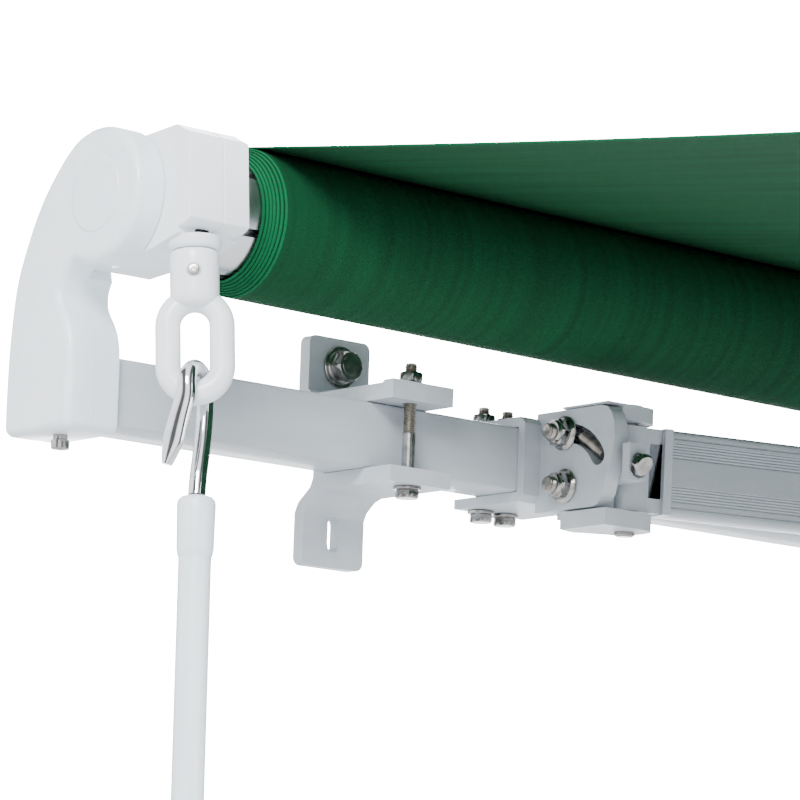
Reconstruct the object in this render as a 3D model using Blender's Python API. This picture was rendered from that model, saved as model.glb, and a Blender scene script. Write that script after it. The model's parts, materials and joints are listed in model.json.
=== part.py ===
"""Folding-arm patio awning, 3.0 m wide with 2.0 m reach, wall fixed, turned by hand.

Axes: X along the awning, Y into the wall, Z up. The wall is the plane Y = 0 and the centre line of
the square bar is Z = 0. Dimensions below are in millimetres. The left half is modelled and the right
half is its mirror, except for the gearbox and the crank, which are only on the left.
"""

import math

import bmesh
import bpy
from mathutils import Matrix, Vector

MM = 0.001

# Driving dimensions, in millimetres
WIDTH = 3000.0
BAR_SIZE = 40.0
BAR_WALL = 2.0
BAR_Y = -47.0
GAP = 0.3

ROLLER_Y = BAR_Y - 44.0
ROLLER_Z = 106.0
TUBE_R = 35.0
TUBE_WALL = 1.6
ROLL_R = 44.8
ROLL_INSET = 104.6
CANVAS_PITCH = math.radians(7.4)
CANVAS_THICK = 1.2

COVER_WIDTH = 36.6
HEAD_WIDTH = 19.3
HEAD_R = 39.5
COVER_WALL = 3.5

GEAR_X0 = 19.6
GEAR_SEAM = 44.0
GEAR_X1 = 62.3
GEAR_TILT = math.radians(4.5)

EYE_X = 37.0
EYE_FORWARD = 43.0
EYE_NECK_R = 14.0
EYE_BAR_R = 7.2
EYE_HALF = 15.2
EYE_TURN = math.radians(40.0)

ROD_R = 9.3
ROD_LENGTH = 1180.0
THROW = 150.0
GRIP_LENGTH = 130.0
HOOK_SIDE = (-0.860, -0.483, 0.0)
HANDLE_TILT = math.radians(1.2)

BRACKET_X0 = 227.3
BRACKET_WIDTH = 48.0
BASE_X0 = 348.3
BASE_WIDTH = 58.0
CHEEK_X0 = 362.3
CHEEK_THICK = 11.0
CARRIER_PLATE = 6.5
PITCH_PIVOT = (-49.0, -18.0)
PITCH_SLOT_R = 33.0
PIN_R = 6.0
PIN_BORE_R = 6.6

PIN_X = 394.3
PIN_Y = BAR_Y - 70.0
PIN_Z = -6.0
ARM_PITCH = math.radians(1.5)
ARM_LENGTH = 1000.0
ARM_ANGLE = math.radians(15.0)
ARM_HEIGHT = 53.0
ARM_THICK = 24.0
ARM_WALL = 2.0
ELBOW_OFFSET = 14.0

FRONT_BAR_HALF = 1405.0
FRONT_BAR_BASE = 33.3
FRONT_BAR_TOP = 98.0
FRONT_BAR_BACK = 12.0
FRONT_BAR_FRONT = -30.0

LEFT_END = -WIDTH / 2

# The frame of the finished part starts on the back of the left wall bracket, under its bolt.
HOME_Z = 38.0

MATERIALS = {
    "white_plastic": ((0.86, 0.89, 0.92), 0.35, 0.0),
    "painted_metal": ((0.62, 0.65, 0.68), 0.45, 0.0),
    "painted_bar": ((0.55, 0.58, 0.61), 0.4, 0.0),
    "stainless": ((0.6, 0.6, 0.6), 0.3, 1.0),
    "chrome": ((0.8, 0.8, 0.82), 0.08, 1.0),
    "galvanised": ((0.6, 0.62, 0.65), 0.35, 1.0),
    "green_canvas": ((0.015, 0.085, 0.04), 0.85, 0.0),
    "brass": ((0.7, 0.5, 0.2), 0.35, 1.0),
}


# ---------------------------------------------------------------- helpers

def clear_scene():
    for obj in list(bpy.context.scene.objects):
        bpy.data.objects.remove(obj, do_unlink=True)


def make_material(node_name, slot):
    colour, roughness, metallic = MATERIALS[slot]
    material = bpy.data.materials.new(node_name + "_" + slot)
    material.use_nodes = True
    shader = material.node_tree.nodes["Principled BSDF"]
    shader.inputs["Base Color"].default_value = (*colour, 1.0)
    shader.inputs["Roughness"].default_value = roughness
    shader.inputs["Metallic"].default_value = metallic
    return material


def frame_from(origin, direction, side=(1.0, 0.0, 0.0)):
    """A matrix whose Z runs along direction and whose X is as near to side as it can be."""
    z_axis = Vector(direction).normalized()
    if abs(z_axis.dot(Vector(side))) > 0.99:
        side = (0.0, 1.0, 0.0)
    x_axis = Vector(side) - z_axis * Vector(side).dot(z_axis)
    x_axis.normalize()
    y_axis = z_axis.cross(x_axis)
    matrix = Matrix((x_axis, y_axis, z_axis)).transposed().to_4x4()
    matrix.translation = Vector(origin)
    return matrix


def transformed(shape, matrix):
    points, faces = shape
    return [matrix @ Vector(p) for p in points], faces


def loft(rings, closed_ends=True):
    """Rings of equal size joined into a skin; the last ring is capped, or joined to the first."""
    size = len(rings[0])
    points = [Vector(p) for ring in rings for p in ring]
    faces = []
    spans = len(rings) - 1 if closed_ends else len(rings)
    for i in range(spans):
        a = i * size
        b = ((i + 1) % len(rings)) * size
        for k in range(size):
            n = (k + 1) % size
            faces.append((a + k, a + n, b + n, b + k))
    if closed_ends:
        faces.append(tuple(reversed(range(size))))
        faces.append(tuple(range((len(rings) - 1) * size, len(rings) * size)))
    return points, faces


def prism(outline, low, high):
    """An outline in XY, counter-clockwise, raised along Z."""
    return loft([[(x, y, z) for x, y in outline] for z in (low, high)])


def prism_x(outline, low, high):
    """An outline in YZ, counter-clockwise seen from +X, drawn out along X."""
    return loft([[(x, y, z) for y, z in outline] for x in (low, high)])


def tube_x(outer, inner, low, high):
    """A hollow section along X; the two outlines have the same number of points."""
    rings = [
        [(low, y, z) for y, z in outer],
        [(high, y, z) for y, z in outer],
        [(high, y, z) for y, z in inner],
        [(low, y, z) for y, z in inner],
    ]
    return loft(rings, closed_ends=False)


def stack(levels, segments=12):
    """A solid of revolution or a hexagon, level by level along Z: (height, kind, radius)."""
    rings = []
    for height, kind, radius in levels:
        ring = []
        for k in range(segments):
            angle = 2 * math.pi * k / segments
            r = radius
            if kind == "hex":
                offset = (angle % (math.pi / 3)) - math.pi / 6
                r = radius * math.cos(math.pi / 6) / math.cos(offset)
            ring.append((r * math.cos(angle), r * math.sin(angle), height))
        rings.append(ring)
    return loft(rings)


def ring_of(outer, inner, low, high, segments=24):
    """A plain round ring about Z."""
    rings = []
    for radius, height in ((outer, low), (outer, high), (inner, high), (inner, low)):
        rings.append([
            (radius * math.cos(2 * math.pi * k / segments), radius * math.sin(2 * math.pi * k / segments), height)
            for k in range(segments)
        ])
    return loft(rings, closed_ends=False)


def sweep(path, radius, segments=10, closed=False, flatten=None):
    """A round bar along a path; flatten gives, for each point, a width and a thickness factor."""
    points = [Vector(p) for p in path]
    count = len(points)
    rings = []
    normal = None
    for i, point in enumerate(points):
        before = points[(i - 1) % count] if closed or i > 0 else point
        after = points[(i + 1) % count] if closed or i < count - 1 else point
        tangent = (after - before).normalized()
        if normal is None:
            normal = tangent.orthogonal().normalized()
            if abs(tangent.dot(Vector((1, 0, 0)))) < 0.9:
                normal = (Vector((1, 0, 0)) - tangent * tangent.x).normalized()
        else:
            normal = (normal - tangent * normal.dot(tangent)).normalized()
        binormal = tangent.cross(normal)
        wide, thin = flatten[i] if flatten else (1.0, 1.0)
        ring = []
        for k in range(segments):
            angle = 2 * math.pi * k / segments
            ring.append(point + normal * radius * wide * math.cos(angle)
                        + binormal * radius * thin * math.sin(angle))
        rings.append(ring)
    return loft(rings, closed_ends=not closed)


def arc(cx, cy, radius, start, end, count):
    """Points on an arc, angles in degrees."""
    points = []
    for i in range(count + 1):
        angle = math.radians(start + (end - start) * i / count)
        points.append((cx + radius * math.cos(angle), cy + radius * math.sin(angle)))
    return points


def rounded_box(x0, x1, y0, y1, radius, count=3):
    points = arc(x1 - radius, y1 - radius, radius, 0, 90, count)
    points += arc(x0 + radius, y1 - radius, radius, 90, 180, count)
    points += arc(x0 + radius, y0 + radius, radius, 180, 270, count)
    points += arc(x1 - radius, y0 + radius, radius, 270, 360, count)
    return points


def box(x0, x1, y0, y1, z0, z1):
    return prism([(x0, y0), (x1, y0), (x1, y1), (x0, y1)], z0, z1)


def mesh_from(name, shape, origin, side):
    points, faces = shape
    mesh = bpy.data.meshes.new(name)
    placed = [((p.x * side) * MM - origin.x, p.y * MM - origin.y, p.z * MM - origin.z)
              for p in (Vector(q) for q in points)]
    mesh.from_pydata(placed, [], faces)
    work = bmesh.new()
    work.from_mesh(mesh)
    bmesh.ops.remove_doubles(work, verts=work.verts, dist=1e-6)
    bmesh.ops.recalc_face_normals(work, faces=work.faces)
    work.to_mesh(mesh)
    work.free()
    return mesh


def home():
    """The point of the left wall bracket's back face that becomes the origin."""
    return Vector((LEFT_END + BRACKET_X0 + BRACKET_WIDTH / 2, 0.0, HOME_Z)) * MM


def add(name, shape, slot, side=1, origin=(0.0, 0.0, 0.0), cuts=(), joins=(), bevel=0.0, smooth=None):
    """One named piece. side -1 mirrors it to the right half; origin is in millimetres, left half."""
    place = Vector((origin[0] * side, origin[1], origin[2])) * MM
    obj = bpy.data.objects.new(name, mesh_from(name, shape, place, side))
    bpy.context.scene.collection.objects.link(obj)
    obj.location = place - home()
    obj.data.materials.append(make_material(name, slot))
    for operation, shapes in (("UNION", joins), ("DIFFERENCE", cuts)):
        for i, extra in enumerate(shapes):
            helper_name = name + "_" + operation.lower() + str(i)
            helper = bpy.data.objects.new(helper_name, mesh_from(helper_name, extra, place, side))
            bpy.context.scene.collection.objects.link(helper)
            helper.location = place - home()
            helper.hide_render = True
            helper.display_type = "WIRE"
            modifier = obj.modifiers.new(helper_name, "BOOLEAN")
            modifier.operation = operation
            modifier.solver = "EXACT"
            modifier.object = helper
    if bevel:
        modifier = obj.modifiers.new("edges", "BEVEL")
        modifier.width = bevel * MM
        modifier.segments = 2
        modifier.limit_method = "ANGLE"
        modifier.angle_limit = math.radians(50)
    if smooth:
        obj.data.shade_smooth()
        obj.data.set_sharp_from_angle(angle=math.radians(smooth))
    return obj


def bolt(start, direction, levels, segments=12):
    return transformed(stack(levels, segments), frame_from(start, direction))


def both_sides():
    return (("left", 1), ("right", -1))


def from_left(u):
    """World X of a point u millimetres in from the left end."""
    return LEFT_END + u


# ---------------------------------------------------------------- fixed frame

def build_torque_bar():
    half = BAR_SIZE / 2
    outer = [(y + BAR_Y, z) for y, z in rounded_box(-half, half, -half, half, 2.0, 2)]
    inner_half = half - BAR_WALL
    inner = [(y + BAR_Y, z) for y, z in rounded_box(-inner_half, inner_half, -inner_half, inner_half, 0.8, 2)]
    end = from_left(COVER_WALL + 2.5)
    add("torque_bar", tube_x(outer, inner, end, -end), "painted_bar")


def cover_outline():
    """Side outline of the end cover in (Y, Z): round head, hollowed neck, square foot."""
    y0 = BAR_Y
    back = [(36.0, -26.0), (36.2, 0.0), (35.0, 37.0), (29.5, 69.0), (22.0, 87.0), (11.5, 106.5), (-1.6, 124.0)]
    points = [(y + y0, z) for y, z in back]
    points += arc(ROLLER_Y, ROLLER_Z, HEAD_R, 42, 299, 16)
    front = [(-17.8, 67.0), (-13.8, 61.0), (-12.1, 54.0), (-13.9, 46.5), (-19.0, 38.6), (-23.8, 30.6),
             (-26.0, 20.0), (-26.0, -26.0)]
    points += [(y + y0, z) for y, z in front]
    return points


def build_end_covers():
    y0 = BAR_Y
    foot = [(36.0, -26.0), (36.2, 0.0), (35.0, 37.0), (29.8, 68.0), (-18.2, 68.0), (-13.8, 61.0), (-12.1, 54.0),
            (-13.9, 46.5), (-19.0, 38.6), (-23.8, 30.6), (-26.0, 20.0), (-26.0, -26.0)]
    foot = [(y + y0, z) for y, z in foot]
    head = prism_x(cover_outline(), LEFT_END, from_left(HEAD_WIDTH))
    wide = prism_x(foot, LEFT_END, from_left(COVER_WIDTH))
    pocket = box(from_left(COVER_WALL), from_left(COVER_WIDTH + 5), y0 - 20.5, y0 + 31, -20.6, 20.6)
    neck_outline = [(31.0, 24.0), (25.5, 64.0), (-8.0, 64.0), (-7.0, 52.0), (-12.0, 40.0), (-20.5, 24.0)]
    neck = prism_x([(y + y0, z) for y, z in neck_outline], from_left(COVER_WALL), from_left(COVER_WIDTH + 5))
    bore = transformed(stack([(0, "round", 35.5), (30, "round", 35.5)], 24),
                       frame_from((from_left(COVER_WALL), ROLLER_Y, ROLLER_Z), (1, 0, 0)))
    hole = transformed(stack([(-40, "round", 3.4), (-20, "round", 3.4)], 12),
                       frame_from((from_left(COVER_WIDTH * 0.42), y0, 0), (0, 0, 1)))
    levels = [(-34.5, "round", 5.0), (-28.6, "round", 5.3), (-28.6, "round", 4.2), (-26.4, "round", 4.2),
              (-26.4, "round", 3.0), (-20.6, "round", 3.0)]
    for name, side in both_sides():
        add(name + "_end_cover", head, "white_plastic", side, joins=(wide,), cuts=(pocket, neck, bore, hole))
        screw = bolt((from_left(COVER_WIDTH * 0.42), y0, 0), (0, 0, 1), levels)
        add(name + "_cover_screw", screw, "stainless", side)


def gear_frame():
    """Gearbox axes about the roller: X as world X, Y forward, Z up, all leaned by the tilt."""
    forward = Vector((0, -math.cos(GEAR_TILT), math.sin(GEAR_TILT)))
    up = Vector((0, math.sin(GEAR_TILT), math.cos(GEAR_TILT)))
    matrix = Matrix((Vector((1, 0, 0)), forward, up)).transposed().to_4x4()
    matrix.translation = Vector((0, ROLLER_Y, ROLLER_Z))
    return matrix


def gear_outline():
    """Gearbox outline as (forward, up) about the roller."""
    return [(61.5, 25.5), (49.5, 33.0), (-31.0, 33.0), (-38.0, 26.0), (-38.0, -28.0), (-31.0, -34.5),
            (27.0, -34.5), (50.0, -30.0), (50.0, -26.5), (56.0, -26.0), (61.5, -23.5)]


def gear_block(x0, x1):
    return transformed(loft([[(x, a, b) for a, b in gear_outline()] for x in (x0, x1)]), gear_frame())


def build_gearbox():
    place = gear_frame()
    room_outline = [(57.0, 22.0), (46.0, 29.0), (-27.0, 29.0), (-34.0, 22.0), (-34.0, -24.0), (-27.0, -30.0),
                    (24.0, -30.0), (46.0, -25.0), (57.0, -21.0)]
    x0, seam, x1 = from_left(GEAR_X0), from_left(GEAR_SEAM), from_left(GEAR_X1)
    room = transformed(loft([[(x, a, b) for a, b in room_outline] for x in (x0 + 4, seam + 1)]), place)
    room_right = transformed(loft([[(x, a, b) for a, b in room_outline] for x in (seam - 1, x1 - 4)]), place)
    neck_hole = transformed(stack([(-50, "round", 8.6), (-15, "round", 8.6)], 16),
                            place @ Matrix.Translation((from_left(EYE_X), EYE_FORWARD, 0)))
    shaft_hole = transformed(stack([(-4, "round", 12.0), (90, "round", 12.0)], 16),
                             frame_from((seam - 5, ROLLER_Y, ROLLER_Z), (1, 0, 0)))
    add("gearbox_outer_half", gear_block(x0, seam), "white_plastic", cuts=(room, neck_hole))
    add("gearbox_inner_half", gear_block(seam + GAP, x1), "white_plastic", cuts=(room_right, neck_hole, shaft_hole))
    eye_origin = place @ Vector((from_left(EYE_X), EYE_FORWARD, 0))
    wheel_levels = [(-16, "round", 11), (-9, "round", 11), (-9, "round", 27), (5, "round", 27),
                    (5, "round", 11), (24.5, "round", 11), (24.5, "hex", 8), (60, "hex", 8)]
    wheel = transformed(stack(wheel_levels, 24), frame_from((seam - 1, ROLLER_Y, ROLLER_Z), (1, 0, 0)))
    add("worm_wheel", wheel, "brass", origin=(seam, ROLLER_Y, ROLLER_Z), smooth=30)
    worm_levels = [(22.0, "round", 5), (14, "round", 5), (14, "round", 8), (-14, "round", 8), (-14, "round", 6),
                   (-33.6, "round", 6)]
    worm = transformed(stack(list(reversed(worm_levels)), 12),
                       place @ Matrix.Translation((from_left(EYE_X), EYE_FORWARD, 0)))
    add("worm_screw", worm, "stainless", origin=eye_origin, smooth=30)


def build_idler():
    x0, x1 = from_left(GEAR_X0), from_left(GEAR_X1)
    outline = [(38.0, 25.5), (31.0, 33.0), (-31.0, 33.0), (-38.0, 26.0), (-38.0, -28.0), (-31.0, -34.5),
               (31.0, -34.5), (38.0, -28.0)]
    block = transformed(loft([[(x, a, b) for a, b in outline] for x in (x0, x1)]), gear_frame())
    hole = transformed(stack([(8, "round", 12.3), (60, "round", 12.3)], 16),
                       frame_from((x0, ROLLER_Y, ROLLER_Z), (1, 0, 0)))
    add("idler_housing", block, "white_plastic", -1, cuts=(hole,))
    levels = [(12, "round", 12.0), (44.5, "round", 12.0), (44.5, "round", 27.5), (70, "round", 27.5)]
    plug = transformed(stack(levels, 24), frame_from((x0, ROLLER_Y, ROLLER_Z), (1, 0, 0)))
    add("roller_end_plug", plug, "white_plastic", -1, origin=(x0, ROLLER_Y, ROLLER_Z), smooth=30)


# ---------------------------------------------------------------- roller and canvas

def build_roller():
    outline = []
    inner = []
    segments = 40
    slots = (4, 13, 22, 31)
    for k in range(segments):
        angle = 2 * math.pi * k / segments
        radius = TUBE_R - 5.0 if k in slots or (k - 1) in slots else TUBE_R
        outline.append((ROLLER_Y + radius * math.cos(angle), ROLLER_Z + radius * math.sin(angle)))
        radius -= TUBE_WALL
        inner.append((ROLLER_Y + radius * math.cos(angle), ROLLER_Z + radius * math.sin(angle)))
    start = from_left(GEAR_X1 + 1.5)
    centre = (0, ROLLER_Y, ROLLER_Z)
    add("roller_tube", tube_x(outline, inner, start, -start), "galvanised", origin=centre, smooth=20)
    edge = from_left(ROLL_INSET)
    roll = transformed(ring_of(ROLL_R, TUBE_R + GAP, 0, -2 * edge, 48), frame_from((edge, ROLLER_Y, ROLLER_Z), (1, 0, 0)))
    add("canvas_roll", roll, "green_canvas", origin=centre, smooth=30)


def arm_plane():
    """Axes of the arms about the left shoulder pin: X along, Y towards the wall, Z normal."""
    return Matrix.Translation((from_left(PIN_X), PIN_Y, PIN_Z)) @ Matrix.Rotation(ARM_PITCH, 4, "X")


def front_pivot():
    """Place of the front pivot in the arm plane."""
    return Vector((0, -2 * ARM_LENGTH * math.sin(ARM_ANGLE), 0))


def build_canvas_sheet():
    """The stretch of canvas between the roll and the front bar, as a thin slab."""
    lift = ROLL_R + GAP
    start = Vector((0, ROLLER_Y - lift * math.sin(CANVAS_PITCH), ROLLER_Z + lift * math.cos(CANVAS_PITCH)))
    end = arm_plane() @ (front_pivot() + Vector((0, FRONT_BAR_BACK - 4, FRONT_BAR_TOP + 1.0)))
    direction = Vector((0, end.y - start.y, end.z - start.z))
    normal = Vector((0, -direction.z, direction.y)).normalized()
    if normal.z < 0:
        normal = -normal
    edge = from_left(ROLL_INSET)
    points = []
    for x in (edge, -edge):
        points += [(x, start.y, start.z), (x, start.y + direction.y, start.z + direction.z)]
        points += [(x, start.y + direction.y + normal.y * CANVAS_THICK, start.z + direction.z + normal.z * CANVAS_THICK)]
        points += [(x, start.y + normal.y * CANVAS_THICK, start.z + normal.z * CANVAS_THICK)]
    faces = [(0, 1, 2, 3), (7, 6, 5, 4), (0, 4, 5, 1), (1, 5, 6, 2), (2, 6, 7, 3), (3, 7, 4, 0)]
    add("canvas_sheet", (points, faces), "green_canvas")


# ---------------------------------------------------------------- brackets on the bar

def build_wall_brackets():
    y0 = BAR_Y
    outline = [(47.0, 68.0), (38.0, 68.0), (38.0, 34.0), (34.0, 30.2), (-32.0, 30.2), (-33.5, 31.7), (-42.0, 31.7),
               (-42.0, 20.3), (20.3, 20.3), (20.3, -20.3), (-42.0, -20.3), (-42.0, -30.0), (22.0, -30.0),
               (28.0, -32.0), (35.5, -38.0), (38.0, -43.0), (38.0, -74.0), (47.0, -74.0), (47.0, -42.0), (44.0, -36.0),
               (33.0, -27.5), (30.5, -22.0), (30.5, 16.0), (33.0, 22.0), (44.0, 26.0), (47.0, 31.0)]
    outline = [(y + y0, z) for y, z in reversed(outline)]
    x0, x1 = from_left(BRACKET_X0), from_left(BRACKET_X0 + BRACKET_WIDTH)
    centre = (x0 + x1) / 2
    shape = prism_x(outline, x0, x1)
    bolt_y = y0 - 30.0
    clamp_hole = bolt((centre, bolt_y, -50), (0, 0, 1), [(0, "round", 4.5), (100, "round", 4.5)])
    wall_hole = bolt((centre, y0 + 30, 50), (0, 1, 0), [(0, "round", 5.4), (30, "round", 5.4)])
    slot_outline = [(centre + x, z) for x, z in arc(0, -47, 4.6, 0, 180, 6) + arc(0, -60, 4.6, 180, 360, 6)]
    slot = transformed(prism(slot_outline, -20, 20), Matrix.Translation((0, y0 + 42, 0)) @ Matrix.Rotation(math.pi / 2, 4, "X"))
    clamp_levels = [(-37.0, "hex", 7.4), (-31.9, "hex", 7.4), (-31.9, "round", 8.5), (-30.3, "round", 8.5),
                    (-30.3, "round", 4.0), (31.9 + GAP, "round", 4.0), (31.9 + GAP, "hex", 7.4), (38.5, "hex", 7.4),
                    (38.5, "round", 4.0), (45.0, "round", 4.0)]
    wall_levels = [(-11.5, "hex", 9.8), (-3.0, "hex", 9.8), (-3.0, "round", 13.0), (-0.3, "round", 13.0),
                   (-0.3, "round", 5.0), (8.7, "round", 5.0)]
    for name, side in both_sides():
        add(name + "_wall_bracket", shape, "painted_metal", side, cuts=(clamp_hole, wall_hole, slot))
        add(name + "_bar_clamp_bolt", bolt((centre, bolt_y, 0), (0, 0, 1), clamp_levels), "stainless", side)
        add(name + "_wall_bolt", bolt((centre, y0 + 38, 50), (0, 1, 0), wall_levels), "stainless", side)


def build_shoulder_bases():
    y0 = BAR_Y
    x0, x1 = from_left(BASE_X0), from_left(BASE_X0 + BASE_WIDTH)
    saddle = [(-26.0, -22.5), (-22.0, -26.5), (38.0, -26.5), (38.0, -20.3), (-20.3, -20.3), (-20.3, 20.3),
              (38.0, 20.3), (38.0, 26.5), (-22.0, 26.5), (-26.0, 22.5)]
    saddle = prism_x([(y + y0, z) for y, z in saddle], x0, x1)
    cheek = [(-22.0, -32.5), (-22.0, 29.7), (-80.0, 29.7), (-85.0, 28.5), (-89.0, 24.5), (-91.5, 18.0), (-92.0, 8.0),
             (-89.0, -4.0), (-82.5, -25.0), (-78.0, -31.0), (-74.0, -32.5)]
    cheek_x0 = from_left(CHEEK_X0)
    cheek_x1 = cheek_x0 + CHEEK_THICK
    cheek = prism_x([(y + y0, z) for y, z in cheek], cheek_x0, cheek_x1)
    # The arc slot is centred on the pitch pivot, so that the arm carrier can be swung up and down.
    pivot_y, pivot_z, slot_r, slot_half = y0 + PITCH_PIVOT[0], PITCH_PIVOT[1], PITCH_SLOT_R, 5.9
    slot = arc(pivot_y, pivot_z, slot_r + slot_half, 74, 150, 8)
    slot_end = math.radians(150)
    slot += arc(pivot_y + slot_r * math.cos(slot_end), pivot_z + slot_r * math.sin(slot_end), slot_half, 180, 300, 4)
    slot += arc(pivot_y, pivot_z, slot_r - slot_half, 150, 74, 8)
    slot = prism_x(slot, cheek_x0 - 5, cheek_x1 + 5)
    pivot_hole = bolt((cheek_x0 - 5, pivot_y, pivot_z), (1, 0, 0), [(0, "round", 5.4), (30, "round", 5.4)])
    base_bolts = [(x0 + 14.0, "outer"), (x0 + 34.0, "inner")]
    cuts = [slot, pivot_hole]
    for x, _ in base_bolts:
        cuts.append(bolt((x, y0 + 28, -40), (0, 0, 1), [(0, "round", 4.4), (80, "round", 4.4)]))
    base_levels = [(-34.0, "hex", 7.4), (-28.8, "hex", 7.4), (-28.8, "round", 8.4), (-26.8, "round", 8.4),
                   (-26.8, "round", 4.0), (26.8, "round", 4.0), (26.8, "hex", 7.4), (32.5, "hex", 7.4),
                   (32.5, "round", 4.0), (38.0, "round", 4.0)]
    nut_levels = [(-15.0, "round", 5.0), (-11.5, "round", 5.0), (-11.5, "round", 7.2), (-9.0, "hex", 8.6),
                  (-3.0, "hex", 8.6), (-2.2, "round", 10.7), (-0.3, "round", 10.7), (-0.3, "round", 5.0),
                  (CHEEK_THICK + CARRIER_PLATE, "round", 5.0)]
    lock = pitch_lock_place()
    for name, side in both_sides():
        add(name + "_shoulder_base", saddle, "painted_metal", side, joins=(cheek,), cuts=cuts)
        for x, which in base_bolts:
            add(name + "_base_bolt_" + which, bolt((x, y0 + 28, 0), (0, 0, 1), base_levels), "stainless", side)
        for which, (y, z) in (("pivot", (pivot_y, pivot_z)), ("lock", lock)):
            shape = bolt((cheek_x0, y, z), (1, 0, 0), nut_levels)
            add(name + "_pitch_" + which + "_bolt", shape, "stainless", side)


def pitch_lock_place():
    """Centre of the lock bolt, at the back end of the arc slot."""
    angle = math.radians(88)
    return (BAR_Y + PITCH_PIVOT[0] + PITCH_SLOT_R * math.cos(angle), PITCH_PIVOT[1] + PITCH_SLOT_R * math.sin(angle))


def carrier_hole(y, z):
    x0 = from_left(CHEEK_X0 + CHEEK_THICK)
    return bolt((x0 - 2, y, z), (1, 0, 0), [(0, "round", 5.4), (20, "round", 5.4)])


def build_arm_carriers():
    """The forked casting that is clamped to the cheek and holds the shoulder pin."""
    y0 = BAR_Y
    x_plate = from_left(CHEEK_X0 + CHEEK_THICK) + GAP
    top, bottom = PIN_Z + ARM_HEIGHT / 2 + 1.5, PIN_Z - ARM_HEIGHT / 2 - 1.5
    plate = box(x_plate, x_plate + CARRIER_PLATE, y0 - 74, y0 - 30, bottom - 2, top + 2)
    pin_x = from_left(PIN_X)
    ear = [(x_plate - 12.0, y0 - 86.5)] + arc(pin_x + 1, PIN_Y - 4.5, 12.0, 270, 360, 3)
    ear += arc(pin_x + 1, PIN_Y + 6, 12.0, 0, 90, 3) + [(x_plate + 2, y0 - 42.0), (x_plate - 12.0, y0 - 46.0)]
    upper = prism(ear, top, top + 9.5)
    lower = prism(ear, bottom - 10.5, bottom)
    # Above and below the cheek the ears reach back over it; between them only the plate is left.
    cheek_room = box(x_plate - 14, x_plate, y0 - 95, y0 - 15, -33.0, 30.2)
    pin_hole = transformed(stack([(-60, "round", PIN_R + GAP), (60, "round", PIN_R + GAP)], 16), arm_plane())
    pivot_y, pivot_z = y0 + PITCH_PIVOT[0], PITCH_PIVOT[1]
    lock = pitch_lock_place()
    pin_levels = [(bottom - PIN_Z - 13.5, "round", 4.6), (bottom - PIN_Z - 12.3, "round", 6.6),
                  (bottom - PIN_Z - 11.2, "round", 6.6), (bottom - PIN_Z - 11.2, "round", PIN_R),
                  (top - PIN_Z + 9.8, "round", PIN_R), (top - PIN_Z + 9.8, "round", 8.0), (top - PIN_Z + 12.0, "round", 8.0)]
    # The adjusting bolt is screwed into a tab that reaches round the front of the cheek.
    seat = (from_left(374.3), y0 - 101.3, -6.5)
    lean = (-2.0, 22.0, 14.0)
    tab = box(x_plate, x_plate + CARRIER_PLATE, y0 - 101.0, y0 - 73.0, -17.5, 5.0)
    tab_front = box(x_plate - 7.0, x_plate + 2.0, y0 - 101.0, y0 - 94.3, -17.5, 5.0)
    shank_hole = bolt(seat, lean, [(-30, "round", 4.8), (40, "round", 4.8)])
    head_room = bolt(seat, lean, [(-30, "round", 8.6), (0.2, "round", 8.6)])
    adjust_levels = [(-5.5, "hex", 7.4), (0.0, "hex", 7.4), (0.0, "round", 4.0), (7.5, "round", 4.0)]
    for name, side in both_sides():
        add(name + "_arm_carrier", plate, "painted_metal", side, joins=(upper, lower, tab, tab_front),
            cuts=(cheek_room, shank_hole, head_room, pin_hole, carrier_hole(pivot_y, pivot_z), carrier_hole(*lock)))
        add(name + "_shoulder_pin", transformed(stack(pin_levels, 16), arm_plane()), "stainless", side,
            origin=(pin_x, PIN_Y, PIN_Z), smooth=30)
        add(name + "_pitch_adjuster", bolt(seat, lean, adjust_levels), "stainless", side)


# ---------------------------------------------------------------- folding arms

def arm_outlines():
    half_h, half_t = ARM_HEIGHT / 2, ARM_THICK / 2
    outer = rounded_box(-half_t, half_t, -half_h, half_h, 3.0, 2)
    inner = rounded_box(-half_t + ARM_WALL, half_t - ARM_WALL, -half_h + ARM_WALL, half_h - ARM_WALL, 1.0, 2)
    return outer, inner


def link(pivot, angle):
    """A link frame in the world: X along the link from its pivot, Z normal to the arm plane."""
    return arm_plane() @ Matrix.Translation(pivot) @ Matrix.Rotation(angle, 4, "Z")


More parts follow.
